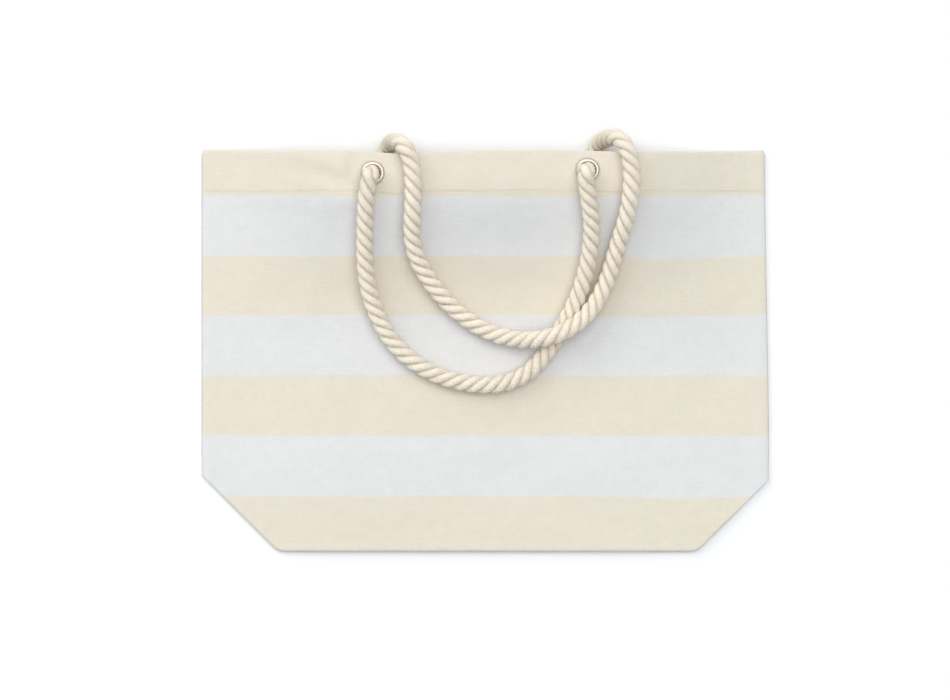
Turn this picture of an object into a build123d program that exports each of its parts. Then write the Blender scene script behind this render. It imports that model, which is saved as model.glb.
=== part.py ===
"""Beach bag of striped canvas with two rope handles, lying flat on its back.

Millimetres. X runs across the bag, +Y towards its mouth and +Z up, away from the surface it lies on.
The origin is under the middle of the bag, on that surface.
"""

from build123d import *
from math import pi, radians, tan
import os

os.makedirs("parts", exist_ok=True)

# the bag
bag_width = 550.0
bag_height = 390.0
gusset_depth = 150.0
cloth = 1.2
hem_depth = 40.0
seam_margin = 12.0
seam_width = 10.0
ply_gap = 0.1

# how the bag lies: the panels part towards the mouth, where the knots and the rope hold them up
full_x = 165.0
side_gap = 3.4
side_share = 0.02
mouth_floor = 18.0
mouth_roof = 47.5

# the rope, its eyelets and its knots
rope_radius = 8.0
squeezed_radius = 7.2
knot_radius = 16.5
knot_height = 22.5
knot_shift = 12.5
eyelet_bore = 7.5
eyelet_wall = 1.0
flange_radius = 11.5
flange_height = 1.5
washer_thickness = 1.0
lip_height = 0.5
lip_reach = 2.3

half_width = bag_width / 2
half_height = bag_height / 2
fold = gusset_depth / 2
hem_y = half_height - hem_depth
seam_x = half_width - seam_margin
side_roof = cloth + side_gap
barrel_radius = eyelet_bore + eyelet_wall

# undersides of the two panels in the middle of the bag, as (y, z) from the bottom edge to the mouth
front_drape = [
    (-half_height, 7.6),
    (-110, 11.8),
    (20, 12.8),
    (60, 17.8),
    (110, 31.8),
    (142, 43.4),
    (hem_y, mouth_roof),
    (half_height, mouth_roof),
]
back_drape = [
    (-half_height, 0),
    (105, 0),
    (130, 8),
    (hem_y, mouth_floor),
    (half_height, mouth_floor),
]

# eyelets, as (x, y): a pair in each panel
front_eyelets = {"left": (-109.0, 172.2), "right": (99.6, 175.1)}
back_eyelets = {"left": (-100.0, 174.0), "right": (108.6, 174.0)}
knot_side = {"front_left": -1, "front_right": -1, "back_left": 1, "back_right": 1}

# the lines that the two handles swing about
front_pivot = (173.7, 58.6)
back_pivot = (205.2, 27.5)

front_route = [
    (-110.2, 163.4, 58.8),
    (-113.6, 149, 57.2),
    (-116.5, 119, 46.2),
    (-117.0, 83, 34.8),
    (-111.5, 50, 27.0),
    (-97.0, 17, 23.0),
    (-76.0, -7, 22.5),
    (-50.0, -23.5, 22.6),
    (-18.0, -33.0, 22.5),
    (15.0, -34.0, 22.6),
    (41.0, -23.5, 22.5),
    (59.0, -4.0, 22.6),
    (74.0, 22, 23.0),
    (88.5, 50, 26.8),
    (98.0, 82, 34.6),
    (103.5, 116, 45.0),
    (101.8, 149, 57.0),
    (100.0, 163.6, 58.8),
]
back_route = [
    (-86.0, 205.1, 35.9),
    (-83.6, 205.0, 49.0),
    (-79.3, 199.2, 58.0),
    (-73.0, 186, 58.2),
    (-69.6, 166, 58.4),
    (-70.0, 140, 55.6),
    (-71.6, 113, 44.8),
    (-66.5, 88, 36.4),
    (-49.5, 61, 29.2),
    (-26.0, 35.5, 24.8),
    (4.0, 16.5, 23.0),
    (34.0, 9.6, 26.5),
    (56.0, 10.8, 38.8),
    (80.0, 19.0, 40.6),
    (103.0, 37.5, 30.8),
    (118.5, 66, 31.2),
    (127.0, 100, 40.4),
    (137.0, 134, 53.6),
    (142.4, 163, 58.5),
    (141.2, 181, 58.3),
    (138.0, 194, 58.4),
    (132.5, 203.6, 53.5),
    (127.0, 206.4, 45.0),
    (124.0, 205.6, 35.6),
]
left_curl = [
    (-100.0, 174.0, 8.3),
    (-97.6, 187, 8.5),
    (-94.0, 199.5, 9.2),
    (-90.5, 205.2, 17.5),
    (-87.5, 205.2, 27.5),
]
right_curl = [
    (108.6, 174.0, 8.3),
    (109.4, 187, 8.5),
    (112.4, 199.6, 9.2),
    (117.0, 205.2, 17.5),
    (121.5, 205.2, 27.5),
]


def finish(piece, name):
    piece.part.label = name
    export_step(piece.part, f"parts/{name}.step")


def sheet(drape):
    """Outline of a draped sheet of cloth in its own (y, z) plane."""
    return drape + [(y, z + cloth) for y, z in reversed(drape)]


def settled(drape, z):
    """The same sheet beside a side seam, where it lies at nearly one height."""
    return [(y, z + side_share * (full_z - z)) for y, full_z in drape]


def bend_radii(route):
    """The radius at each corner of a route, as large as the two runs beside it allow."""
    radii = []
    for before, corner, after in zip(route, route[1:], route[2:]):
        into = Vector(*corner) - Vector(*before)
        out = Vector(*after) - Vector(*corner)
        turn = radians(into.get_angle(out))
        radii.append(0.45 * min(into.length, out.length) / tan(turn / 2))
    return radii


def report(name, part, line, radii):
    expected = pi * rope_radius**2 * line.length
    print(name, "length", round(line.length, 1), "volume ratio", round(part.volume / expected, 4))
    print(name, "radii", [round(radius) for radius in radii])


# triangles outside the two bottom corners, which are folded in at 45 degrees
beyond = 5
corner = [
    (half_width + beyond, -half_height - beyond),
    (half_width - fold - beyond, -half_height - beyond),
    (half_width + beyond, -half_height + fold + beyond),
]
corner_cuts = [corner, [(-x, y) for x, y in corner]]

# the front panel
with BuildPart() as front_panel:
    low = settled(front_drape, side_roof)
    for x, drape in [
        (-half_width, low),
        (-seam_x, low),
        (-full_x, front_drape),
        (full_x, front_drape),
        (seam_x, low),
        (half_width, low),
    ]:
        with BuildSketch(Plane.YZ.offset(x)):
            with BuildLine():
                Polyline(*sheet(drape), close=True)
            make_face()
    loft(ruled=True)
    with BuildSketch(Plane.XY):
        for cut in corner_cuts:
            with BuildLine():
                Polyline(*cut, close=True)
            make_face()
    extrude(amount=mouth_roof, mode=Mode.SUBTRACT)
    with BuildSketch(Plane.XY.offset(mouth_roof)):
        with Locations(*front_eyelets.values()):
            Circle(barrel_radius)
    extrude(amount=2 * cloth, both=True, mode=Mode.SUBTRACT)
finish(front_panel, "front_panel")

# the back panel, which the bag lies on
with BuildPart() as back_panel:
    low = settled(back_drape, 0)
    for x, drape in [
        (-half_width, low),
        (-seam_x, low),
        (-full_x, back_drape),
        (full_x, back_drape),
        (seam_x, low),
        (half_width, low),
    ]:
        with BuildSketch(Plane.YZ.offset(x)):
            with BuildLine():
                Polyline(*sheet(drape), close=True)
            make_face()
    loft(ruled=True)
    with BuildSketch(Plane.XY.offset(-1)):
        for cut in corner_cuts:
            with BuildLine():
                Polyline(*cut, close=True)
            make_face()
    extrude(amount=mouth_floor, mode=Mode.SUBTRACT)
    with BuildSketch(Plane.XY.offset(mouth_floor)):
        with Locations(*back_eyelets.values()):
            Circle(barrel_radius)
    extrude(amount=2 * cloth, both=True, mode=Mode.SUBTRACT)
finish(back_panel, "back_panel")

# the hems, turned to the inside of the mouth
hem_x = seam_x - 0.5
roof_at_seam = side_roof + side_share * (mouth_roof - side_roof)
floor_at_seam = side_share * mouth_floor
under_front = -cloth - ply_gap
over_back = cloth + ply_gap
hems = {
    "front_hem": (mouth_roof + under_front, roof_at_seam + under_front, front_eyelets),
    "back_hem": (mouth_floor + over_back, floor_at_seam + over_back, back_eyelets),
}
for name, (z_full, z_side, holes) in hems.items():
    with BuildPart() as hem:
        for x, z in [(-hem_x, z_side), (-full_x, z_full), (full_x, z_full), (hem_x, z_side)]:
            with BuildSketch(Plane.YZ.offset(x)):
                with BuildLine():
                    Polyline(*sheet([(hem_y, z), (half_height, z)]), close=True)
                make_face()
        loft(ruled=True)
        with BuildSketch(Plane.XY.offset(z_full)):
            with Locations(*holes.values()):
                Circle(barrel_radius)
        extrude(amount=2 * cloth, both=True, mode=Mode.SUBTRACT)
    finish(hem, name)

# the bottom, folded up between the panels, and the corner of each side folded in with it
folded = [
    (-half_height, cloth + 0.2),
    (-half_height + fold - 1.5, cloth + 0.2),
    (-half_height + fold, 2.1),
    (-half_height + fold, 3.7),
    (-half_height + fold - 1.5, 4.4),
    (-half_height, 6.1),
    (-half_height, 6.1 - cloth),
    (-half_height + fold - 2.5, 3.2),
    (-half_height + fold - 2.5, 2.7),
    (-half_height, 2.6),
]
with BuildPart() as bottom_panel:
    with BuildSketch(Plane.YZ.offset(-half_width + fold)):
        with BuildLine():
            Polyline(*folded, close=True)
        make_face()
    extrude(amount=bag_width - 2 * fold)
finish(bottom_panel, "bottom_panel")

for side, start in {"left": -half_width, "right": half_width - fold + ply_gap}.items():
    with BuildPart() as gusset:
        with BuildSketch(Plane.YZ.offset(start)):
            with BuildLine():
                Polyline(*folded, close=True)
            make_face()
        extrude(amount=fold - ply_gap)
        with BuildSketch(Plane.XY.offset(-1)):
            for cut in corner_cuts:
                with BuildLine():
                    Polyline(*cut, close=True)
                make_face()
        extrude(amount=10, mode=Mode.SUBTRACT)
    finish(gusset, f"{side}_gusset")

# the bound seam allowance inside each side
seam_length = bag_height - fold - 0.5
for side, x in {"left": -half_width + seam_width / 2, "right": half_width - seam_width / 2}.items():
    with BuildPart() as seam:
        with BuildSketch(Plane.XY.offset(cloth + floor_at_seam + ply_gap)):
            with Locations((x, half_height - seam_length / 2)):
                Rectangle(seam_width, seam_length)
        extrude(amount=side_gap - floor_at_seam - 2 * ply_gap)
    finish(seam, f"{side}_side_seam")

# eyelets and their washers; the flange lies on the outer face of its panel
stack = 2 * cloth + ply_gap + washer_thickness + ply_gap
faces = {"front": (front_eyelets, mouth_roof + cloth, -1), "back": (back_eyelets, mouth_floor, 1)}
for face, (holes, z, facing) in faces.items():
    for side, (x, y) in holes.items():
        outward = Plane(origin=(x, y, z), x_dir=(1, 0, 0), z_dir=(0, facing, 0))
        hole_axis = Axis((x, y, z), (0, 0, 1))
        with BuildPart() as eyelet:
            with BuildSketch(outward):
                with BuildLine():
                    Line((eyelet_bore, -stack - lip_height), (eyelet_bore, 0.5))
                    ThreePointArc((eyelet_bore, 0.5), (9.3, flange_height), (flange_radius, 0))
                    Line((flange_radius, 0), (barrel_radius, 0))
                    Line((barrel_radius, 0), (barrel_radius, -stack))
                    Line((barrel_radius, -stack), (eyelet_bore + lip_reach, -stack))
                    Line((eyelet_bore + lip_reach, -stack), (eyelet_bore, -stack - lip_height))
                make_face()
            revolve(axis=hole_axis)
        finish(eyelet, f"{face}_{side}_eyelet")
        with BuildPart() as washer:
            with BuildSketch(outward):
                with BuildLine():
                    Polyline(
                        (barrel_radius + 0.05, -stack),
                        (barrel_radius + 0.05, -stack + washer_thickness),
                        (flange_radius, -stack + washer_thickness),
                        (flange_radius, -stack + 0.4),
                        (flange_radius - 0.4, -stack),
                        close=True,
                    )
                make_face()
            revolve(axis=hole_axis)
        finish(washer, f"{face}_{side}_eyelet_washer")

# stopper knots inside the bag, side by side, with the rope's end beyond each and its whipping
knots = {}
front_knot_z = mouth_roof - stack + cloth - lip_height - 0.2 - knot_height / 2
back_knot_z = mouth_floor + stack + lip_height + 0.1 + knot_height / 2
tail_length = 24.0
whipping_length = 10.0
tail_drop = 3.2
for face, holes, z in [("front", front_eyelets, front_knot_z), ("back", back_eyelets, back_knot_z)]:
    for side, (x, y) in holes.items():
        towards = knot_side[f"{face}_{side}"]
        knot_x = x + towards * knot_shift
        tail_plane = Plane(origin=(knot_x + towards * 4, y, z - tail_drop), z_dir=(0, -1, 0))
        tail_end = knot_radius + tail_length
        with BuildPart() as knot:
            with Locations((knot_x, y, z)):
                Cylinder(knot_radius, knot_height)
            fillet(knot.edges().filter_by(GeomType.CIRCLE), 10)
        finish(knot, f"{face}_{side}_knot")
        knots[f"{face}_{side}"] = knot.part
        with BuildPart() as tail:
            with BuildSketch(tail_plane):
                Circle(rope_radius)
            extrude(amount=tail_end)
            add(knot.part, mode=Mode.SUBTRACT)
        finish(tail, f"{face}_{side}_rope_end")
        with BuildPart() as whipping:
            with BuildSketch(tail_plane.offset(tail_end - whipping_length - 2)):
                Circle(rope_radius + 0.7)
                Circle(rope_radius + 0.05, mode=Mode.SUBTRACT)
            extrude(amount=whipping_length)
        finish(whipping, f"{face}_{side}_whipping")

# the front rope where it comes up through each front eyelet, ending in the ball that it bends at
neck_low = front_knot_z + knot_height / 2 - 2.5
neck_top = mouth_roof + cloth + flange_height + 0.4
for side, (x, y) in front_eyelets.items():
    with BuildPart() as neck:
        with BuildSketch(Plane.XY.offset(neck_low)):
            with Locations((x, y)):
                Circle(squeezed_radius)
        extrude(amount=neck_top - neck_low)
        with BuildSketch(Plane.XY.offset(neck_top)):
            with Locations((x, y)):
                Circle(rope_radius)
        extrude(amount=front_pivot[1] - neck_top)
        with Locations((x, front_pivot[0], front_pivot[1])):
            Sphere(rope_radius)
        add(knots[f"front_{side}"], mode=Mode.SUBTRACT)
    finish(neck, f"front_{side}_rope_neck")

# the back rope from each back eyelet, under the panel and round the mouth's edge to its ball
for side, route in {"left": left_curl, "right": right_curl}.items():
    x, y, z = route[0]
    curl_radii = bend_radii(route)
    with BuildPart() as curl:
        with BuildLine():
            curl_path = FilletPolyline(*route, radius=curl_radii)
        with BuildSketch(Plane(curl_path ^ 0)):
            Circle(rope_radius)
        sweep(path=curl_path)
        with Locations(route[0], route[-1]):
            Sphere(rope_radius)
        with BuildSketch(Plane.XY.offset(z)):
            with Locations((x, y)):
                Circle(squeezed_radius)
        extrude(amount=back_knot_z - knot_height / 2 + 3 - z)
        add(knots[f"back_{side}"], mode=Mode.SUBTRACT)
    report(f"back_{side}_rope_curl", curl.part, curl_path, curl_radii)
    finish(curl, f"back_{side}_rope_curl")

# the handles: each is the free loop of its rope between the two balls
for name, route in {"front_rope_handle": front_route, "back_rope_handle": back_route}.items():
    handle_radii = bend_radii(route)
    with BuildPart() as handle:
        with BuildLine():
            handle_path = FilletPolyline(*route, radius=handle_radii)
        with BuildSketch(Plane(handle_path ^ 0)):
            Circle(rope_radius)
        sweep(path=handle_path)
    report(name, handle.part, handle_path, handle_radii)
    finish(handle, name)
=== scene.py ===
import math

import bmesh
import bpy
from mathutils import Matrix, Vector, noise
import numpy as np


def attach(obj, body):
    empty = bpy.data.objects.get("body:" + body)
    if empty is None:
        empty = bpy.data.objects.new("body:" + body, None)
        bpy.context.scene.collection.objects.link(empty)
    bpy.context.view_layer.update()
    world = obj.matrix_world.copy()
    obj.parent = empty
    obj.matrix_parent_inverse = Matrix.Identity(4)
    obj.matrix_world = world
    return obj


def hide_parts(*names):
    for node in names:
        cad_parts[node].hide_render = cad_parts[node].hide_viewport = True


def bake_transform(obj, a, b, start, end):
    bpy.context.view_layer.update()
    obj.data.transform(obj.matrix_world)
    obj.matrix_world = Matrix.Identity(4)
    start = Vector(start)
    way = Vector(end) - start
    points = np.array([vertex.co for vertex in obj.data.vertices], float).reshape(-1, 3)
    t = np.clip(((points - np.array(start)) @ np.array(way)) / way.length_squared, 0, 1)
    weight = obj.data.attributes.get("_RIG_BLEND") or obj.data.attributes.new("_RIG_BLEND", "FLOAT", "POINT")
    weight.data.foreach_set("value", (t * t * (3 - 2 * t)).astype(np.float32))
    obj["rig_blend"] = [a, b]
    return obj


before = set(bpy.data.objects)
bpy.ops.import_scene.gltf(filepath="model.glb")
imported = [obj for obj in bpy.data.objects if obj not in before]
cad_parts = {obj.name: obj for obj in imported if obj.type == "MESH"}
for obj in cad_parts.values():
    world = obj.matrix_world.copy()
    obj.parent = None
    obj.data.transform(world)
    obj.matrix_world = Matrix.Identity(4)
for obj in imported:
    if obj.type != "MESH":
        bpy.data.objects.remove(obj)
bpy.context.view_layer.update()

mm = 0.001
print("frame loaded")

# camera, straight above the bag
view = {"centre": (-0.0097, 0.0005), "width": 0.9244, "height": 12.0, "plane": 0.006, "sensor": 36.0}

cameraData = bpy.data.cameras.new("overheadCamera")
cameraData.sensor_width = view["sensor"]
cameraData.lens = view["sensor"] * (view["height"] - view["plane"]) / view["width"]
cameraData.clip_end = 50
camera = bpy.data.objects.new("overheadCamera", cameraData)
camera.location = (view["centre"][0], view["centre"][1], view["height"])
bpy.context.collection.objects.link(camera)
bpy.context.scene.camera = camera


def blendValue(a, b, share):
    return a + (b - a) * share


def smoothStep(low, high, value):
    t = min(max((value - low) / (high - low), 0.0), 1.0)
    return t * t * (3 - 2 * t)


def makePiece(name, bm, material):
    bmesh.ops.transform(bm, matrix=Matrix.Scale(mm, 4), verts=bm.verts)
    mesh = bpy.data.meshes.new(name)
    for face in bm.faces:
        face.smooth = True
    bm.to_mesh(mesh)
    bm.free()
    mesh.materials.append(material)
    piece = bpy.data.objects.new(name, mesh)
    bpy.context.collection.objects.link(piece)
    return piece


# materials
def newMaterial(name, roughness, **constants):
    material = bpy.data.materials.new(name)
    material.use_nodes = True
    shader = material.node_tree.nodes["Principled BSDF"]
    shader.inputs["Roughness"].default_value = roughness
    for socket, value in constants.items():
        shader.inputs[socket.replace("_", " ")].default_value = value
    return material, material.node_tree, shader


def addNode(tree, kind, **settings):
    node = tree.nodes.new(kind)
    for key, value in settings.items():
        setattr(node, key, value)
    return node


def mathNode(tree, operation, a, b=None):
    node = tree.nodes.new("ShaderNodeMath")
    node.operation = operation
    for socket, value in zip(node.inputs, (a, b)):
        if value is None:
            continue
        if isinstance(value, (int, float)):
            socket.default_value = value
        else:
            tree.links.new(value, socket)
    return node.outputs[0]


def noiseNode(tree, vector, scale, detail=3.0, roughness=0.5):
    node = tree.nodes.new("ShaderNodeTexNoise")
    node.inputs["Scale"].default_value = scale
    node.inputs["Detail"].default_value = detail
    node.inputs["Roughness"].default_value = roughness
    tree.links.new(vector, node.inputs["Vector"])
    return node.outputs[0]


def stretched(tree, vector, scale, turn=0.0):
    node = tree.nodes.new("ShaderNodeMapping")
    node.inputs["Rotation"].default_value = (0.0, 0.0, turn)
    node.inputs["Scale"].default_value = scale
    tree.links.new(vector, node.inputs["Vector"])
    return node.outputs[0]


def mixColours(tree, factor, first, second, mode="MIX"):
    node = tree.nodes.new("ShaderNodeMix")
    node.data_type = "RGBA"
    node.blend_type = mode
    if isinstance(factor, float):
        node.inputs["Factor"].default_value = factor
    else:
        tree.links.new(factor, node.inputs["Factor"])
    for socket, value in zip((node.inputs[6], node.inputs[7]), (first, second)):
        if isinstance(value, tuple):
            socket.default_value = (*value, 1.0)
        else:
            tree.links.new(value, socket)
    return node.outputs[2]


def sumOf(tree, weights, **parts):
    total = None
    for name, part in parts.items():
        share = mathNode(tree, "MULTIPLY", part, weights[name])
        total = share if total is None else mathNode(tree, "ADD", total, share)
    return mathNode(tree, "ADD", total, weights["base"])


def shadeColour(tree, shader, colour, shade):
    grey = tree.nodes.new("ShaderNodeCombineColor")
    for socket in grey.inputs:
        tree.links.new(shade, socket)
    tree.links.new(mixColours(tree, 1.0, colour, grey.outputs[0], "MULTIPLY"), shader.inputs["Base Color"])


def addBump(tree, shader, layers):
    normal = None
    for height, distance in layers:
        bump = tree.nodes.new("ShaderNodeBump")
        bump.inputs["Distance"].default_value = distance
        tree.links.new(height, bump.inputs["Height"])
        if normal is not None:
            tree.links.new(normal, bump.inputs["Normal"])
        normal = bump.outputs["Normal"]
    tree.links.new(normal, shader.inputs["Normal"])


canvasLook = {
    "edges": [148.9, 90.4, 33.8, -24.9, -84.2, -142.8, -201.0, -259.5],
    "lowest": -280.0,
    "highest": 240.0,
    "sand": (0.735, 0.672, 0.559),
    "white": (0.715, 0.704, 0.691),
    "thread": 0.9,
    "driftSize": 1.1,
    "drift": 0.048,
    "raggedSize": 90.0,
    "ragged": 0.006,
    "threadStretch": (6.0, 110.0),
    "twillStretch": (14.0, 60.0),
    "twillTurn": 0.62,
    "mottleSize": 7.0,
    "shades": {"threads": 0.10, "mottle": 0.07, "weave": 0.02, "twill": 0.07, "base": 0.823},
    "bumps": {"mottle": 0.0006, "threads": 0.00035, "weave": 0.00009},
}


def stripedCanvas():
    look = canvasLook
    material, tree, shader = newMaterial("striped_canvas", 0.92, Specular_IOR_Level=0.12, Sheen_Weight=0.12,
                                         Sheen_Roughness=0.6)
    flat = addNode(tree, "ShaderNodeUVMap", uv_map="cloth").outputs[0]      # decimetres of flat cloth
    split = tree.nodes.new("ShaderNodeSeparateXYZ")
    tree.links.new(flat, split.inputs[0])
    across, along = split.outputs[0], split.outputs[1]
    drift = mathNode(tree, "SUBTRACT", noiseNode(tree, flat, look["driftSize"], 1.0), 0.5)
    ragged = mathNode(tree, "SUBTRACT", noiseNode(tree, flat, look["raggedSize"], 1.0), 0.5)
    shift = mathNode(tree, "ADD", mathNode(tree, "MULTIPLY", drift, look["drift"]),
                     mathNode(tree, "MULTIPLY", ragged, look["ragged"]))
    height = mathNode(tree, "ADD", along, shift)
    reach = (look["highest"] - look["lowest"]) / 100
    ramp = tree.nodes.new("ShaderNodeValToRGB")
    ramp.color_ramp.interpolation = "CONSTANT"
    stops = ramp.color_ramp.elements
    colours = [look["white"], look["sand"]]
    stops[0].position = 0.0
    stops[1].position = (look["edges"][-1] - look["lowest"]) / 100 / reach
    for edge in reversed(look["edges"][:-1]):
        stops.new((edge - look["lowest"]) / 100 / reach)
    for number, stop in enumerate(stops):
        stop.color = (*colours[(len(stops) - number) % 2], 1.0)
    place = mathNode(tree, "DIVIDE", mathNode(tree, "SUBTRACT", height, look["lowest"] / 100), reach)
    tree.links.new(place, ramp.inputs[0])

    # plain weave: warp and weft threads pass over each other by turns
    pitch = look["thread"] / 100
    warp = mathNode(tree, "SINE", mathNode(tree, "MULTIPLY", across, math.pi / pitch))
    weft = mathNode(tree, "SINE", mathNode(tree, "MULTIPLY", along, math.pi / pitch))
    weave = mathNode(tree, "MULTIPLY", warp, weft)
    long, short = look["threadStretch"]
    slubs = noiseNode(tree, stretched(tree, flat, (long, short, 1.0)), 1.0, 2.0)
    cross = noiseNode(tree, stretched(tree, flat, (short, long, 1.0)), 1.0, 2.0)
    threads = mathNode(tree, "ADD", slubs, cross)
    mottle = noiseNode(tree, flat, look["mottleSize"], 4.0, 0.6)
    slanted = stretched(tree, flat, (*look["twillStretch"], 1.0), look["twillTurn"])
    twill = noiseNode(tree, slanted, 1.0, 2.0)
    shade = sumOf(tree, look["shades"], threads=threads, mottle=mottle, weave=weave, twill=twill)
    shadeColour(tree, shader, ramp.outputs[0], shade)
    bumps = look["bumps"]
    addBump(tree, shader, [(mottle, bumps["mottle"]), (threads, bumps["threads"]), (weave, bumps["weave"])])
    return material


# three strands laid to the left
ropeLay = {
    "radius": 8.6,
    "lay": 36.0,
    "strandCentre": 0.5,    # this and the next in rope radii
    "strandRadius": 0.5,
    "flatten": 1.20,
    "yarns": 10,
    "yarnDepth": 0.085,
    "yarnTwist": 2.14,      # turns of a yarn about its strand for each turn of the lay
    "columnsPerYarn": 4,
    "wobble": 0.035,
    "wobbleSteps": (0.35, 0.07, 3.0),
}
ropeLook = {
    "colours": [    # by height over the rope's middle, in radii; the low grooves between strands get painted shade
        (0.45, (0.64, 0.51, 0.38)),
        (0.70, (0.910, 0.795, 0.640)),
        (0.93, (0.965, 0.868, 0.720)),
    ],
    "fibres": (60.0, 9.0),
    "patches": (2.0, 3.0),
    "specks": (70.0, 45.0),
    "shades": {"fibres": 0.26, "patches": 0.12, "ridges": 0.025, "specks": 0.22, "base": 0.69},
    "fibreBump": 0.0008,
    "speckBump": 0.0004,
}


def cottonRope():
    look = ropeLook
    material, tree, shader = newMaterial("cotton_rope", 0.9, Specular_IOR_Level=0.15, Sheen_Weight=0.15,
                                         Sheen_Roughness=0.5)
    strand = addNode(tree, "ShaderNodeUVMap", uv_map="strand").outputs[0]
    # painted shade: nearer the rope's axis, in the grooves between strands, the colour turns darker brown
    crown = addNode(tree, "ShaderNodeAttribute", attribute_name="crown").outputs["Fac"]
    ramp = tree.nodes.new("ShaderNodeValToRGB")
    stops = ramp.color_ramp.elements
    shadedGroove, middle, top = look["colours"]
    stops[0].position, stops[1].position = shadedGroove[0], top[0]
    stops[0].color = (*shadedGroove[1], 1)
    stops[1].color = (*top[1], 1)
    between = stops.new(middle[0])
    between.color = (*middle[1], 1)
    tree.links.new(crown, ramp.inputs[0])
    fibres = noiseNode(tree, stretched(tree, strand, (*look["fibres"], 1.0)), 1.0, 3.0)
    patches = noiseNode(tree, stretched(tree, strand, (*look["patches"], 1.0)), 1.0, 2.0)
    specks = noiseNode(tree, stretched(tree, strand, (*look["specks"], 1.0)), 1.0, 2.0)
    split = tree.nodes.new("ShaderNodeSeparateXYZ")
    tree.links.new(strand, split.inputs[0])
    # painted shade: the valleys between yarns come out a little darker
    yarnTurn = mathNode(tree, "MULTIPLY", split.outputs[0], 2 * math.pi * ropeLay["yarns"])
    ridges = mathNode(tree, "COSINE", yarnTurn)
    shade = sumOf(tree, look["shades"], fibres=fibres, patches=patches, ridges=ridges, specks=specks)
    shadeColour(tree, shader, ramp.outputs[0], shade)
    addBump(tree, shader, [(fibres, look["fibreBump"]), (specks, look["speckBump"])])
    return material


def plainThread(name, colour, scale, darkest=0.86, bump=0.0002):
    material, tree, shader = newMaterial(name, 0.85, Specular_IOR_Level=0.2)
    place = addNode(tree, "ShaderNodeTexCoord").outputs["Object"]
    grain = noiseNode(tree, place, scale, 3.0)
    darker = tuple(value * darkest for value in colour)
    tree.links.new(mixColours(tree, grain, darker, colour), shader.inputs["Base Color"])
    addBump(tree, shader, [(grain, bump)])
    return material


eyeletLook = {
    "dull": (0.60, 0.548, 0.468),
    "bright": (0.70, 0.645, 0.555),
    "roughness": 0.40,
    "rougher": 0.16,
    "markSize": 900.0,
    "cloudSize": 120.0,
    "markBump": 0.00003,
}


def eyeletMetal():
    look = eyeletLook
    material, tree, shader = newMaterial("nickel_eyelet", look["roughness"], Metallic=1.0)
    place = addNode(tree, "ShaderNodeTexCoord").outputs["Object"]
    marks = noiseNode(tree, place, look["markSize"], 3.0)
    clouds = noiseNode(tree, place, look["cloudSize"], 2.0)
    tree.links.new(mixColours(tree, clouds, look["dull"], look["bright"]), shader.inputs["Base Color"])
    roughness = sumOf(tree, {"marks": look["rougher"], "base": look["roughness"]}, marks=marks)
    tree.links.new(roughness, shader.inputs["Roughness"])
    addBump(tree, shader, [(marks, look["markBump"])])
    return material


canvas = stripedCanvas()
rope = cottonRope()
twine = plainThread("waxed_twine", (0.52, 0.42, 0.30), 1400.0)
sewing = plainThread("sewing_thread", (0.74, 0.68, 0.56), 1800.0)
binding = plainThread("seam_binding", (0.66, 0.60, 0.50), 1200.0)
nickel = eyeletMetal()
print("materials made")

# the two rope handles
frontRoute = [
    (-109.0, 172.2, 43.0),
    (-110.6, 172.4, 59.8),
    (-112.6, 163.4, 59.2),
    (-115.2, 149, 57.2),
    (-116.5, 119, 46.2),
    (-117.0, 83, 34.8),
    (-111.5, 50, 27.0),
    (-97.0, 17, 23.0),
    (-76.0, -7, 22.5),
    (-50.0, -23.5, 22.6),
    (-18.0, -33.0, 22.5),
    (15.0, -34.0, 22.6),
    (41.0, -23.5, 22.5),
    (59.0, -4.0, 22.6),
    (75.0, 22, 23.0),
    (90.0, 50, 26.8),
    (99.8, 82, 34.6),
    (104.6, 116, 45.0),
    (100.4, 149, 57.0),
    (98.0, 163.6, 59.2),
    (98.2, 175.3, 59.8),
    (99.6, 175.1, 43.0),
]
backRoute = [
    (-100.0, 174.0, 22.0),
    (-100.0, 174.0, 14.8),
    (-99.6, 176.6, 9.8),
    (-98.4, 182.6, 8.4),
    (-97.0, 190, 8.6),
    (-94.5, 197.5, 9.2),
    (-91.5, 202.4, 17.5),
    (-88.5, 202.6, 27.5),
    (-86.4, 202.6, 35.9),
    (-83.4, 202.4, 49.0),
    (-77.6, 197.4, 58.0),
    (-72.0, 186, 58.2),
    (-69.6, 166, 58.4),
    (-70.0, 140, 55.6),
    (-71.6, 113, 44.8),
    (-66.5, 88, 36.4),
    (-49.5, 61, 29.2),
    (-26.0, 35.5, 24.8),
    (4.0, 16.5, 23.0),
    (34.0, 9.6, 26.5),
    (56.0, 10.8, 38.8),
    (80.0, 19.0, 40.6),
    (103.0, 37.5, 30.8),
    (118.5, 66, 31.2),
    (128.0, 100, 40.4),
    (139.0, 134, 53.6),
    (142.4, 163, 58.5),
    (141.2, 181, 58.3),
    (138.6, 194.5, 58.4),
    (131.5, 204.6, 53.5),
    (125.5, 207.4, 45.0),
    (122.0, 206.6, 35.6),
    (118.8, 205.6, 27.5),
    (113.5, 205.0, 17.5),
    (109.2, 199.0, 9.2),
    (107.6, 190, 8.7),
    (108.2, 182.6, 8.4),
    (108.6, 176.6, 9.8),
    (108.6, 174.0, 14.8),
    (108.6, 174.0, 22.0),
]


def readRoute(name, route, fineness=14):
    curve = bpy.data.curves.new(name, "CURVE")
    curve.dimensions = "3D"
    curve.resolution_u = fineness
    spline = curve.splines.new("NURBS")
    spline.points.add(len(route) - 1)
    for point, place in zip(spline.points, route):
        point.co = (*(value * mm for value in place), 1.0)
    spline.order_u = 3
    spline.use_endpoint_u = True
    holder = bpy.data.objects.new(name, curve)
    bpy.context.collection.objects.link(holder)
    line = bpy.data.meshes.new_from_object(holder)
    points = [vertex.co / mm for vertex in line.vertices]
    bpy.data.objects.remove(holder)
    bpy.data.curves.remove(curve)
    bpy.data.meshes.remove(line)
    return points


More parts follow.
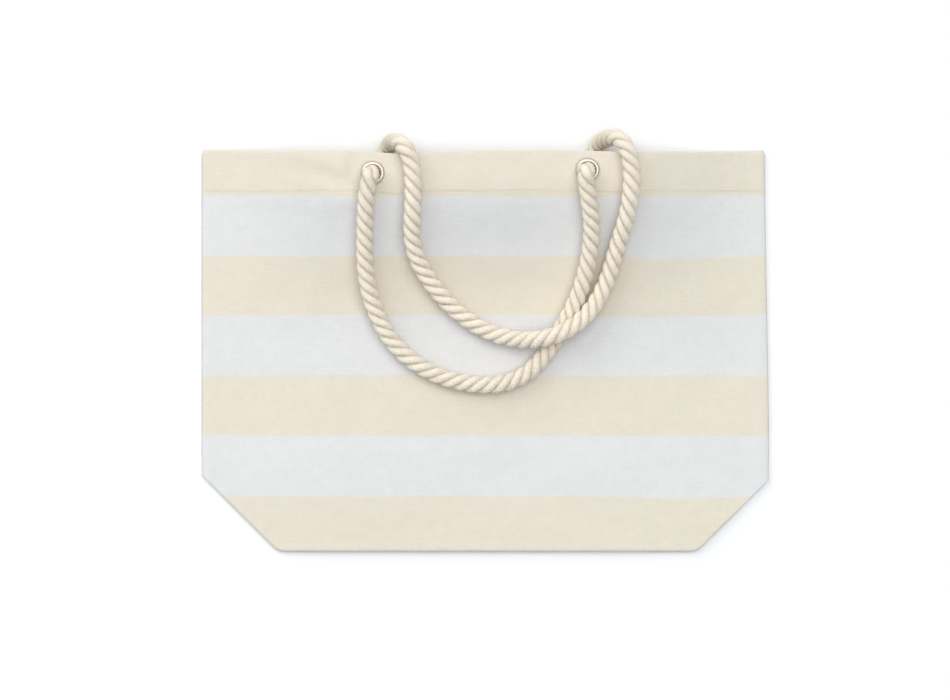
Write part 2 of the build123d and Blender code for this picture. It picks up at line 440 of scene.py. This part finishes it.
def lengthsAlong(points):
    lengths = [0.0]
    for first, second in zip(points, points[1:]):
        lengths.append(lengths[-1] + (second - first).length)
    return lengths


def framesAlong(points):
    tangents = []
    for number in range(len(points)):
        before = points[max(number - 1, 0)]
        after = points[min(number + 1, len(points) - 1)]
        tangents.append((after - before).normalized())
    side = tangents[0].orthogonal().normalized()
    frames = []
    for number, tangent in enumerate(tangents):
        if number:
            side = tangents[number - 1].rotation_difference(tangent) @ side
            side = (side - tangent * side.dot(tangent)).normalized()
        frames.append((tangent, side, tangent.cross(side)))
    return frames


def layStrand(bm, points, frames, lengths, turn, radii, lay):
    columns = lay["yarns"] * lay["columnsPerYarn"]
    rows = len(points) - 1
    made = bmesh.ops.create_grid(bm, x_segments=columns, y_segments=rows, size=0.5, calc_uvs=True)["verts"]
    crown = bm.verts.layers.float["crown"]
    twist = 2 * math.pi / lay["lay"]
    acrossStep, alongStep, strandStep = lay["wobbleSteps"]
    for vertex in made:
        column = round((vertex.co.x + 0.5) * columns)
        row = round((vertex.co.y + 0.5) * rows)
        tangent, side, up = frames[row]
        radius = radii[row]
        lean = turn - twist * lengths[row]
        outward = side * math.cos(lean) + up * math.sin(lean)
        sideways = side * -math.sin(lean) + up * math.cos(lean)
        # yarns are twisted against the strands, so on the outside they run along the rope
        yarn = column % columns
        around = 2 * math.pi * yarn / columns + lay["yarnTwist"] * twist * lengths[row]
        ridge = abs(math.cos(math.pi * column / lay["columnsPerYarn"]))
        place = Vector((yarn * acrossStep, lengths[row] * alongStep, turn * strandStep))
        wobble = lay["wobble"] * noise.noise(place)
        reach = radius * lay["strandRadius"] * (1 - lay["yarnDepth"] * (1 - ridge) + wobble)
        rise = reach * math.cos(around)
        drift = reach * math.sin(around) * lay["flatten"]
        centre = points[row] + outward * radius * lay["strandCentre"]
        vertex.co = centre + outward * rise + sideways * drift
        # how far out from the rope's axis; the rope's colour uses it to paint shade into the grooves
        vertex[crown] = (vertex.co - points[row]).length / radius
    return made


def laidRope(name, points, material, radiusAt=None, lay=ropeLay):
    frames = framesAlong(points)
    lengths = lengthsAlong(points)
    radii = [radiusAt(length, lengths[-1]) if radiusAt else lay["radius"] for length in lengths]
    bm = bmesh.new()
    bm.verts.layers.float.new("crown")
    bm.loops.layers.uv.new("strand")
    for strand in range(3):
        made = layStrand(bm, points, frames, lengths, 2 * math.pi * strand / 3, radii, lay)
        bmesh.ops.remove_doubles(bm, verts=made, dist=0.0005)
    layer = bm.loops.layers.uv["strand"]
    for face in bm.faces:
        for loop in face.loops:
            loop[layer].uv.y *= lengths[-1] / 10
    ends = [edge for edge in bm.edges if edge.is_boundary]
    bmesh.ops.holes_fill(bm, edges=ends, sides=0)
    bmesh.ops.recalc_face_normals(bm, faces=bm.faces)
    piece = makePiece(name, bm, material)
    return piece, lengths[-1]


ropeEnds = {"radius": 7.3, "narrowTo": 4.95, "fullFrom": 9.0}    # the eyelets pinch the rope


def pinchedEnds(length, total):
    near = min(length, total - length)
    share = smoothStep(ropeEnds["narrowTo"], ropeEnds["fullFrom"], near)
    return blendValue(ropeEnds["radius"], ropeLay["radius"], share)


frontPoints = readRoute("frontRoute", frontRoute)
backPoints = readRoute("backRoute", backRoute)
frontRope, frontLength = laidRope("front_rope", frontPoints, rope, pinchedEnds)
backRope, backLength = laidRope("back_rope", backPoints, rope, pinchedEnds)
print("ropes", round(frontLength, 1), round(backLength, 1))

# the knots inside the mouth, each with a tail bound in twine
knotShape = {
    "radius": 6.4,
    "spread": 9.6,
    "depth": 4.8,
    "turns": 0.84,
    "steps": 15,
    "lay": 30.0,
    "yarns": 9,
    "ropeStart": {"front": 46.0, "back": 20.5},    # heights of the rope's end in the eyelet
    "firstReach": 0.55,
    "tail": 40.5,
    "tailPoints": (0.45, 0.72, 1.0),
    "aside": 4.0,
    "drop": 3.2,
}
eyelets = {    # the hole, the knot's middle, and the side of the hole where the knot lies
    "front_left": ((-109.0, 172.2), (-121.5, 172.2, 33.15), -1),
    "front_right": ((99.6, 175.1), (87.1, 175.1, 33.15), -1),
    "back_left": ((-100.0, 174.0), (-87.5, 174.0, 33.45), 1),
    "back_right": ((108.6, 174.0), (121.1, 174.0, 33.45), 1),
}
whipping = {"radius": 0.75, "turns": 7, "length": 10.0, "over": 6.7, "back": 2.0, "bedded": 0.6,
            "sides": 8, "steps": 36}


def knotRoute(name, hole, centre, away):
    shape = knotShape
    face = name.split("_")[0]
    startZ = shape["ropeStart"][face]
    x, y, z = centre
    towards = 0.0 if away < 0 else math.pi
    route = [(*hole, startZ), (*hole, blendValue(startZ, z, shape["firstReach"]))]
    for step in range(shape["steps"] + 1):
        t = math.pi + 2 * math.pi * shape["turns"] * step / shape["steps"]
        east = (math.sin(t) + 2 * math.sin(2 * t)) / 3
        north = (math.cos(t) - 2 * math.cos(2 * t)) / 3
        spin = towards + math.pi / 2
        px = east * math.cos(spin) - north * math.sin(spin)
        py = east * math.sin(spin) + north * math.cos(spin)
        lift = math.sin(3 * t) * (-1 if face == "front" else 1)
        route.append((x + shape["spread"] * px, y + shape["spread"] * py, z + shape["depth"] * lift))
    tailX = x + shape["aside"] * away
    for reach in shape["tailPoints"]:
        route.append((tailX, y - shape["tail"] * reach, z - shape["drop"]))
    return route


def bindTail(name, centre, away):
    bm = bmesh.new()
    x = centre[0] + knotShape["aside"] * away
    z = centre[2] - knotShape["drop"]
    end = centre[1] - knotShape["tail"] + whipping["back"]
    pitch = whipping["length"] / whipping["turns"]
    for turn in range(whipping["turns"]):
        ring = bmesh.ops.create_circle(bm, segments=whipping["sides"], radius=whipping["radius"])["verts"]
        outside = whipping["over"] + whipping["radius"] * whipping["bedded"]
        bmesh.ops.translate(bm, verts=ring, vec=(outside, 0, 0))
        edges = list({edge for vertex in ring for edge in vertex.link_edges})
        bmesh.ops.spin(bm, geom=ring + edges, cent=(0, 0, 0), axis=(0, 1, 0), angle=2 * math.pi,
                       steps=whipping["steps"], use_merge=True, use_duplicate=False)
        fresh = [vertex for vertex in bm.verts if not vertex.tag]
        bmesh.ops.translate(bm, verts=fresh, vec=(x, end + pitch * (turn + 0.5), z))
        for vertex in bm.verts:
            vertex.tag = True
    bmesh.ops.remove_doubles(bm, verts=bm.verts, dist=0.001)
    bmesh.ops.recalc_face_normals(bm, faces=bm.faces)
    return makePiece(f"{name}_twine_whipping", bm, twine)


knotLay = dict(ropeLay, radius=knotShape["radius"], lay=knotShape["lay"], yarns=knotShape["yarns"])
for name, (hole, centre, away) in eyelets.items():
    points = readRoute(name, knotRoute(name, hole, centre, away), 8)
    knot, knotLength = laidRope(f"{name}_knotted_rope", points, rope, lay=knotLay)
    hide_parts(f"{name}_knot", f"{name}_rope_end")
    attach(knot, "bag")
    band = bindTail(name, centre, away)
    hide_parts(f"{name}_whipping")
    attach(band, "bag")
    print(name, "knot rope", round(knotLength, 1))

# the bag's cloth, cut flat and folded: a front and a back, each with its hem and half the bottom
bag = {
    "halfWidth": 275.0,
    "halfHeight": 195.0,
    "thickness": 0.9,
    "leftFold": 74.0,
    "rightFold": 69.5,
    "foldSoft": 1.7,
    "hem": 41.0,
    "hemGap": 1.15,
    "hemInset": 0.985,
    "mouthRoll": 1.0,
    "stitchBand": (3.5, -6.5),    # the fine rows over and under the hem's free edge
    "fullX": 165.0,
    "seamX": 263.0,
    "seamHeight": 2.72,
    "seamGap": 0.05,
    "roll": 5.0,
    "bottomFold": {"front": 1.4, "back": 0.85},
    "smallestFold": 0.3,
    "leafHeight": {"front": 4.0, "back": 2.8},
    "columns": 220,
    "edgeFine": 0.6,
}
stitching = {"pitch": 3.8, "length": 2.7, "radius": 0.33, "above": 1.9, "reach": 266.0, "clear": 13.0,
             "raised": 0.05, "slopeReach": 2.0}
eyeletCut = {"removed": 8.2, "near": 14.0, "radius": 9.2}
# how high each face lies at its middle, from the bottom fold to the mouth
frontDrape = [(-195, 8.2), (-110, 12.4), (20, 13.4), (60, 18.4), (110, 32.4), (142, 44.0), (155, 48.1),
              (195, 48.1)]
backDrape = [(-195, 0.6), (105, 0.6), (130, 8.6), (155, 18.6), (195, 18.6)]
drapeSoftening = (-12, -8, -4, 0, 4, 8, 12)
# how far the mouth's edge hangs below a straight line, from left to right
mouthSag = [(-275, 0.2), (-245, 0.6), (-225, 1.0), (-140, 0.9), (-118, 1.7), (-100, 3.0), (-84, 4.3),
            (-70, 3.4), (-56, 1.6), (-40, 1.2), (-14, 0.5), (4, 0.1), (56, 0.0), (75, 0.2), (92, 0.9),
            (110, 1.6), (130, 1.9), (240, 1.95), (252, 1.5), (268, 1.1), (275, 0.9)]
# where the stripes bend: middle, width, height, how far up the cloth
stripeBows = [
    ((-95, 148), 75, 30, 1.9),
    ((-232, 148), 50, 30, -1.6),
    ((80, 148), 75, 30, 1.9),
    ((182, 90), 45, 35, 3.0),
    ((-60, 34), 130, 22, -0.4),
    ((185, -143), 50, 25, 2.2),
    ((170, 33), 90, 22, 2.0),
    ((-272, 33), 28, 22, 1.5),
]
rowsIn = {"hem": 10, "mouth": 5, "band": 11, "hemLine": 14, "panel": 112, "bottom": 6, "leaf": 12}


def heightOf(drape, y):
    total = 0.0
    for offset in drapeSoftening:
        place = min(max(y + offset, drape[0][0]), drape[-1][0])
        for (y0, z0), (y1, z1) in zip(drape, drape[1:]):
            if y0 <= place <= y1:
                total += blendValue(z0, z1, (place - y0) / (y1 - y0))
                break
    return total / len(drapeSoftening)


def ripple(x, y, size, seed):
    return noise.noise(Vector((x / size, y / size, seed)))


frontCreases = [    # from the rope's knot outwards: start, end, width, height
    ((-128, 176), (-205, 196), 8.0, 1.3),
    ((-124, 160), (-190, 178), 9.0, -1.2),
    ((-118, 150), (-172, 138), 11.0, 1.0),
    ((118, 168), (172, 186), 10.0, 0.6),
    ((-92, 160), (-60, 186), 10.0, 0.5),
    ((-127, 196), (-124, 146), 3.6, -0.9),
    ((-135, 198), (-138, 152), 4.5, 0.8),
    ((-147, 196), (-140, 160), 4.0, -0.6),
    ((-230, -141), (-229, -168), 3.0, -0.5),
    ((229, -141), (231, -166), 3.0, -0.4),
]


def crease(x, y, start, end, width, height):
    line = Vector(end) - Vector(start)
    offset = Vector((x, y)) - Vector(start)
    along = offset.dot(line) / line.length_squared
    away = (offset - line * min(max(along, 0.0), 1.0)).length
    fade = smoothStep(-0.05, 0.2, along) * (1 - smoothStep(0.55, 1.05, along))
    return height * fade * math.exp(-(away / width) ** 2)


# beside the ropes the hem is pulled: x, width, how far down, how much deeper
hemPulls = [(-85, 22, 3.0, 2.4), (126, 18, 1.2, 0.8)]
hemShape = {
    "wander": (0.6, 80),
    "pull": 0.26,
    "leastPull": 0.08,
    "pullBeat": (0.12, 3),      # height, and every how many stitches
    "pullRipple": (0.3, 50),
    "dentWidth": 1.1,
    "step": 0.30,
    "stepFrom": (-2.5, 0.5),
}
seamShape = {"height": 0.35, "rise": (258, 263), "fall": (269, 274)}


def hemLine(x):
    sag = sum(down * math.exp(-((x - place) / width) ** 2) for place, width, down, deeper in hemPulls)
    amount, size = hemShape["wander"]
    return bag["halfHeight"] - bag["hem"] + amount * ripple(x, 0, size, 3.0) - sag


def hemDent(x, y):    # the row of stitches pulls the cloth in at the hem's free edge
    low = y - hemLine(x)
    stronger = 1.0
    for place, width, down, deeper in hemPulls:
        stronger += deeper * math.exp(-((x - place) / width) ** 2)
    beat, stitches = hemShape["pullBeat"]
    amount, size = hemShape["pullRipple"]
    pull = hemShape["pull"] + beat * math.sin(x * 2 * math.pi / stitching["pitch"] / stitches)
    pull = max(pull + amount * ripple(x, 0, size, 8.0), hemShape["leastPull"])
    dent = pull * stronger * math.exp(-(low / hemShape["dentWidth"]) ** 2)
    return dent + hemShape["step"] * (1 - smoothStep(*hemShape["stepFrom"], low))


def seamRidge(x):
    rise = smoothStep(*seamShape["rise"], abs(x))
    return seamShape["height"] * rise * (1 - smoothStep(*seamShape["fall"], abs(x)))


panelShape = {
    "low": {"front": 5.2, "back": 0.6},
    "rampBefore": 25,
    "rampPast": 32,
    "roundness": 0.55,
    "calm": (12, 34),           # flat round the eyelets
    "sideEdge": 40,
    "bottomEdge": 30,
    "swells": [(1.5, 95, 2.0), (0.55, 34, 5.0)],
    "frontDrop": 0.35,
    "backSwell": (0.5, 60, 9.0),
    "backSwellFrom": 110,
}


def panelHeight(face, x, y):
    shape = panelShape
    drape = frontDrape if face == "front" else backDrape
    ramp = (abs(x) - bag["fullX"] + shape["rampBefore"]) / (bag["seamX"] - bag["fullX"] + shape["rampPast"])
    share = 1 - blendValue(min(max(ramp, 0.0), 1.0), smoothStep(0, 1, ramp), shape["roundness"])
    z = blendValue(shape["low"][face], heightOf(drape, y), share)
    calm = 1.0
    for name, (hole, centre, away) in eyelets.items():
        if name.startswith(face):
            calm = min(calm, smoothStep(*shape["calm"], math.dist(hole, (x, y))))
    edge = smoothStep(0, shape["sideEdge"], bag["halfWidth"] - abs(x))
    edge *= smoothStep(0, shape["bottomEdge"], bag["halfHeight"] + y)
    if face == "front":
        z += sum(height * ripple(x, y, size, seed) for height, size, seed in shape["swells"]) * edge * calm
        for item in frontCreases:
            z += crease(x, y, *item) * min(calm * 2, 1)
        z += seamRidge(x) - hemDent(x, y) - shape["frontDrop"]
    else:
        z += hemDent(x, y)
        if y > shape["backSwellFrom"]:
            height, size, seed = shape["backSwell"]
            z += height * ripple(x, y, size, seed) * edge * calm
    return z


outlineShape = {
    "slant": 0.0109,         # the right side leans in towards the mouth
    "flare": 0.0036,
    "slantFrom": -107,
    "cut": 3.2,              # the rounded corners at the mouth
    "cutFrom": 189,
    "cutDepth": 5.5,
    "cutSide": (250, 275),
}


def outlineX(x, y):
    shape = outlineShape
    upper = smoothStep(shape["slantFrom"], bag["halfHeight"], y)
    slant = shape["slant"] * upper - shape["flare"] * (1 - upper)
    past = min(max((y - shape["cutFrom"]) / shape["cutDepth"], 0.0), 1.0)
    cut = shape["cut"] * (1 - math.sqrt(1 - past ** 2)) * smoothStep(*shape["cutSide"], abs(x))
    return (x * (1 - slant) if x > 0 else x) - math.copysign(cut, x)


def mouthY(x):
    return bag["halfHeight"] - 0.5 - heightOf(mouthSag, x)


def pastFold(x):    # how far x lies beyond the end of the straight bottom edge
    return abs(x) - (bag["halfWidth"] - (bag["leftFold"] if x < 0 else bag["rightFold"]))


def foldY(x):
    return -bag["halfHeight"] + bag["foldSoft"] * math.log1p(math.exp(pastFold(x) / bag["foldSoft"]))


def clothPoint(face, x, section, t):
    up = 1 if face == "front" else -1     # the side of the panel that shows
    top, corner = mouthY(x), foldY(x)
    hemEdge, lip = bag["halfHeight"] - bag["hem"], bag["mouthRoll"]
    above, below = bag["stitchBand"]
    seam = bag["seamHeight"] + bag["seamGap"] * up
    edge = (abs(x) - (bag["halfWidth"] - bag["roll"])) / bag["roll"]
    turned = 1 - math.sqrt(1 - min(edge, 1.0) ** 2) if edge > 0 else 0.0
    hemX = x * bag["hemInset"]

    def panelAt(y):
        z = panelHeight(face, x, y)
        return Vector((outlineX(x, y), y, blendValue(z, seam, turned)))

    def hemAt(y):
        z = panelHeight(face, hemX, y) - up * bag["hemGap"]
        return Vector((outlineX(hemX, y), y, z))

    slope = smoothStep(-4, 4, pastFold(x))    # the corners are folded in at 45 degrees
    slanted = math.sqrt(0.5)
    outward = Vector((math.copysign(slope, x) * slanted, -blendValue(1.0, slanted, slope), 0))
    leafZ = bag["leafHeight"][face]
    radius = bag["bottomFold"][face]
    if face == "front":
        radius = min(radius, max(abs(panelAt(corner).z - leafZ) / 2, bag["smallestFold"]))
    inset = outward * -radius
    if section == "hem":
        y = blendValue(hemEdge, top - lip, t)
        return hemAt(y), 2 * top - y
    if section == "mouth":
        inner, outer = hemAt(top - lip), panelAt(top - lip)
        half = (outer - inner) / 2
        angle = math.pi * t
        rounded = Vector((0, half.length * math.sin(angle), 0)) - half * math.cos(angle)
        return (inner + outer) / 2 + rounded, top + lip - 2 * lip * t
    if section == "band":
        y = blendValue(top - lip, hemEdge + above, t)
        return panelAt(y), y
    if section == "hemLine":
        y = hemEdge + blendValue(above, below, t)
        return panelAt(y), y
    if section == "panel":
        y = blendValue(hemEdge + below, corner + abs(inset.y), t)
        point = panelAt(y)
        point.x += inset.x * smoothStep(0.9, 1.0, t)
        return point, y
    base = panelAt(corner + abs(inset.y))
    base.x += inset.x
    if section == "bottom":
        angle = math.pi * t
        rise = up * radius * (1 - math.cos(angle))
        return base + outward * radius * math.sin(angle) - Vector((0, 0, rise)), corner - 2 * t
    start = base - Vector((0, 0, 2 * up * radius))
    point = start.lerp(Vector((start.x, bag["leftFold"] - bag["halfHeight"], leafZ)), t)
    return point, -2 * bag["halfHeight"] - point.y if pastFold(x) <= 0 else corner - 2


def planRows():
    plan = [("hem", 0.0)]
    for section, count in rowsIn.items():
        plan += [(section, (step + 1) / count) for step in range(count)]
    return plan


def bowAt(x, along):
    bow = 0.0
    for (middleX, middleY), wide, tall, amount in stripeBows:
        bow += amount * math.exp(-((x - middleX) / wide) ** 2 - ((along - middleY) / tall) ** 2)
    return bow


def cutCloth(face):
    plan = planRows()
    rows, columns = len(plan) - 1, bag["columns"]
    bm = bmesh.new()
    layer = bm.loops.layers.uv.new("cloth")
    bmesh.ops.create_grid(bm, x_segments=columns, y_segments=rows, size=0.5)
    flat = {}
    for vertex in bm.verts:
        s = round((vertex.co.x + 0.5) * columns) / columns * 2 - 1
        row = round((vertex.co.y + 0.5) * rows)
        x = bag["halfWidth"] * (s + bag["edgeFine"] * math.sin(math.pi * s) / math.pi)
        section, t = plan[row]
        vertex.co, along = clothPoint(face, x, section, t)
        flat[vertex] = (x / 100, (along + bowAt(x, along)) / 100)
    for polygon in bm.faces:
        for loop in polygon.loops:
            loop[layer].uv = flat[loop.vert]
    holes = [hole for name, (hole, centre, away) in eyelets.items() if name.startswith(face)]
    inside = [vertex for vertex in bm.verts
              if any(math.dist(vertex.co.xy, hole) < eyeletCut["removed"] for hole in holes)]
    bmesh.ops.delete(bm, geom=inside, context="VERTS")
    for vertex in bm.verts:
        for hole in holes:
            away = vertex.co.xy - Vector(hole)
            if vertex.is_boundary and away.length < eyeletCut["near"]:
                vertex.co.xy = Vector(hole) + away.normalized() * eyeletCut["radius"]
    if face == "front":
        bmesh.ops.reverse_faces(bm, faces=bm.faces)
    return bm


def sewCloth(face):
    bm = cutCloth(face)
    piece = makePiece(f"{face}_cloth", bm, canvas)
    thick = piece.modifiers.new("thickness", "SOLIDIFY")
    thick.thickness = bag["thickness"] * mm
    thick.offset = 0
    thick.use_rim = True
    return piece


frontCloth = sewCloth("front")
backCloth = sewCloth("back")
print("cloth folded")


# stitches along the hems
def hemStitches(face):
    up = 1 if face == "front" else -1
    bm = bmesh.new()
    count = int(2 * stitching["reach"] / stitching["pitch"])
    holes = [hole for name, (hole, centre, away) in eyelets.items() if name.startswith(face)]
    for number in range(count):
        x = -stitching["reach"] + (number + 0.5) * stitching["pitch"]
        y = hemLine(x) + stitching["above"]
        if any(math.dist(hole, (x, y)) < stitching["clear"] for hole in holes):
            continue
        z = panelHeight(face, x, y) + up * (bag["thickness"] / 2 + stitching["raised"])
        step = stitching["slopeReach"]
        rise = panelHeight(face, x + step, y) - panelHeight(face, x - step, y)
        tilt = Matrix.Rotation(-math.atan2(rise, 2 * step), 3, "Y")
        made = bmesh.ops.create_uvsphere(bm, u_segments=6, v_segments=4, radius=stitching["radius"])["verts"]
        bmesh.ops.scale(bm, verts=made, vec=(stitching["length"] / 2 / stitching["radius"], 1, 1))
        bmesh.ops.rotate(bm, verts=made, cent=(0, 0, 0), matrix=tilt)
        bmesh.ops.translate(bm, verts=made, vec=(outlineX(x, y), y, z))
    return makePiece(f"{face}_hem_stitches", bm, sewing)


frontStitches = hemStitches("front")
backStitches = hemStitches("back")


# the bound seam allowances inside the two sides
seamBinding = {"inner": 264.5, "outer": 273.0, "low": -118.0, "high": 193.0, "thickness": 1.1,
               "pucker": 0.12, "puckerStep": 0.9, "across": 6, "along": 80}


def sideBinding(side, away):
    shape = seamBinding
    bm = bmesh.new()
    bmesh.ops.create_grid(bm, x_segments=shape["across"], y_segments=shape["along"], size=0.5)
    for vertex in bm.verts:
        y = blendValue(shape["low"], shape["high"], vertex.co.y + 0.5)
        x = away * blendValue(shape["inner"], shape["outer"], vertex.co.x + 0.5)
        z = bag["seamHeight"] + shape["pucker"] * math.sin(y * shape["puckerStep"])
        vertex.co = (outlineX(x, y), y, z)
    bmesh.ops.recalc_face_normals(bm, faces=bm.faces)
    piece = makePiece(f"{side}_seam_binding", bm, binding)
    thick = piece.modifiers.new("thickness", "SOLIDIFY")
    thick.thickness = shape["thickness"] * mm
    thick.offset = 0
    return piece


bindings = {"left": sideBinding("left", -1), "right": sideBinding("right", 1)}

# eyelets keep their CAD shape and take the metal
for name in eyelets:
    for part in ("eyelet", "eyelet_washer"):
        for slot in bpy.data.objects[f"{name}_{part}"].material_slots:
            slot.material = nickel

# floor and light
studio = {
    "lights": {    # strength, angle, where it comes from, colour
        "key": (0.98, 50.0, (-0.80, 0.72, 0.72), (1.0, 0.960, 0.89)),
        "top": (1.84, 52.0, (0.20, 0.15, 1.0), (1.0, 0.990, 0.96)),
    },
    "floor": 0.87,
    "floorSize": 6000,
    "floorBelow": 0.3,
    "fill": 0.79,
    "sky": (0.87, 0.96, 1.08),
    "horizon": 0.75,
    "horizonStop": 0.05,
    "skyStop": 0.40,
    "brightSide": (-0.62, 0.78, 0.0),
    "dimSide": 0.28,
}
floorBm = bmesh.new()
bmesh.ops.create_grid(floorBm, x_segments=2, y_segments=2, size=studio["floorSize"])
paper, paperTree, paperShader = newMaterial("pale_floor", 0.95, Specular_IOR_Level=0.0)
paperShader.inputs["Base Color"].default_value = (studio["floor"], studio["floor"], studio["floor"], 1)
floor = makePiece("floor", floorBm, paper)
floor.location.z = -studio["floorBelow"] * mm

for name, (strength, angle, source, colour) in studio["lights"].items():
    lightData = bpy.data.lights.new(f"{name}Light", "SUN")
    lightData.energy = strength
    lightData.angle = math.radians(angle)
    lightData.color = colour
    light = bpy.data.objects.new(f"{name}Light", lightData)
    light.rotation_euler = Vector(source).to_track_quat("Z", "Y").to_euler()
    bpy.context.collection.objects.link(light)

# a white tent overhead that darkens towards the horizon, for the metal to mirror
world = bpy.data.worlds.new("studio")
world.use_nodes = True
sky = world.node_tree
backdrop = sky.nodes["Background"]
direction = sky.nodes.new("ShaderNodeTexCoord").outputs["Generated"]
lift = sky.nodes.new("ShaderNodeSeparateXYZ")
sky.links.new(direction, lift.inputs[0])
fade = sky.nodes.new("ShaderNodeValToRGB")
horizon, high = fade.color_ramp.elements
horizon.position = studio["horizonStop"]
horizon.color = (*(value * studio["horizon"] for value in studio["sky"]), 1)
high.position = studio["skyStop"]
high.color = (*studio["sky"], 1)
sky.links.new(lift.outputs[2], fade.inputs[0])
facing = sky.nodes.new("ShaderNodeVectorMath")
facing.operation = "DOT_PRODUCT"
facing.inputs[1].default_value = studio["brightSide"]
sky.links.new(direction, facing.inputs[0])
level = mathNode(sky, "MULTIPLY", facing.outputs["Value"], (1 - studio["dimSide"]) / 2)
level = mathNode(sky, "ADD", level, (1 + studio["dimSide"]) / 2)
sky.links.new(mathNode(sky, "MULTIPLY", level, studio["fill"]), backdrop.inputs["Strength"])
sky.links.new(fade.outputs[0], backdrop.inputs["Color"])
bpy.context.scene.world = world
bpy.context.scene.view_settings.view_transform = "Standard"
print("studio set")

# what each piece moves with and stands for
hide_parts("front_rope_handle", "front_left_rope_neck", "front_right_rope_neck")
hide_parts("back_rope_handle", "back_left_rope_curl", "back_right_rope_curl")
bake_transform(frontRope, "bag", "front_handle", start=(0, 0.174, 0.046), end=(0, 0.160, 0.058))
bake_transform(backRope, "bag", "back_handle", start=(0, 0.2052, 0.0275), end=(0, 0.1992, 0.0479))

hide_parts("front_panel", "front_hem", "left_gusset", "right_gusset")
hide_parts("back_panel", "back_hem", "bottom_panel")
for piece, rests in ((frontCloth, backCloth), (backCloth, ())):
    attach(piece, "bag")
for piece in (frontStitches, backStitches):
    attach(piece, "bag")
for side, piece in bindings.items():
    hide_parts(f"{side}_side_seam")
    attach(piece, "bag")
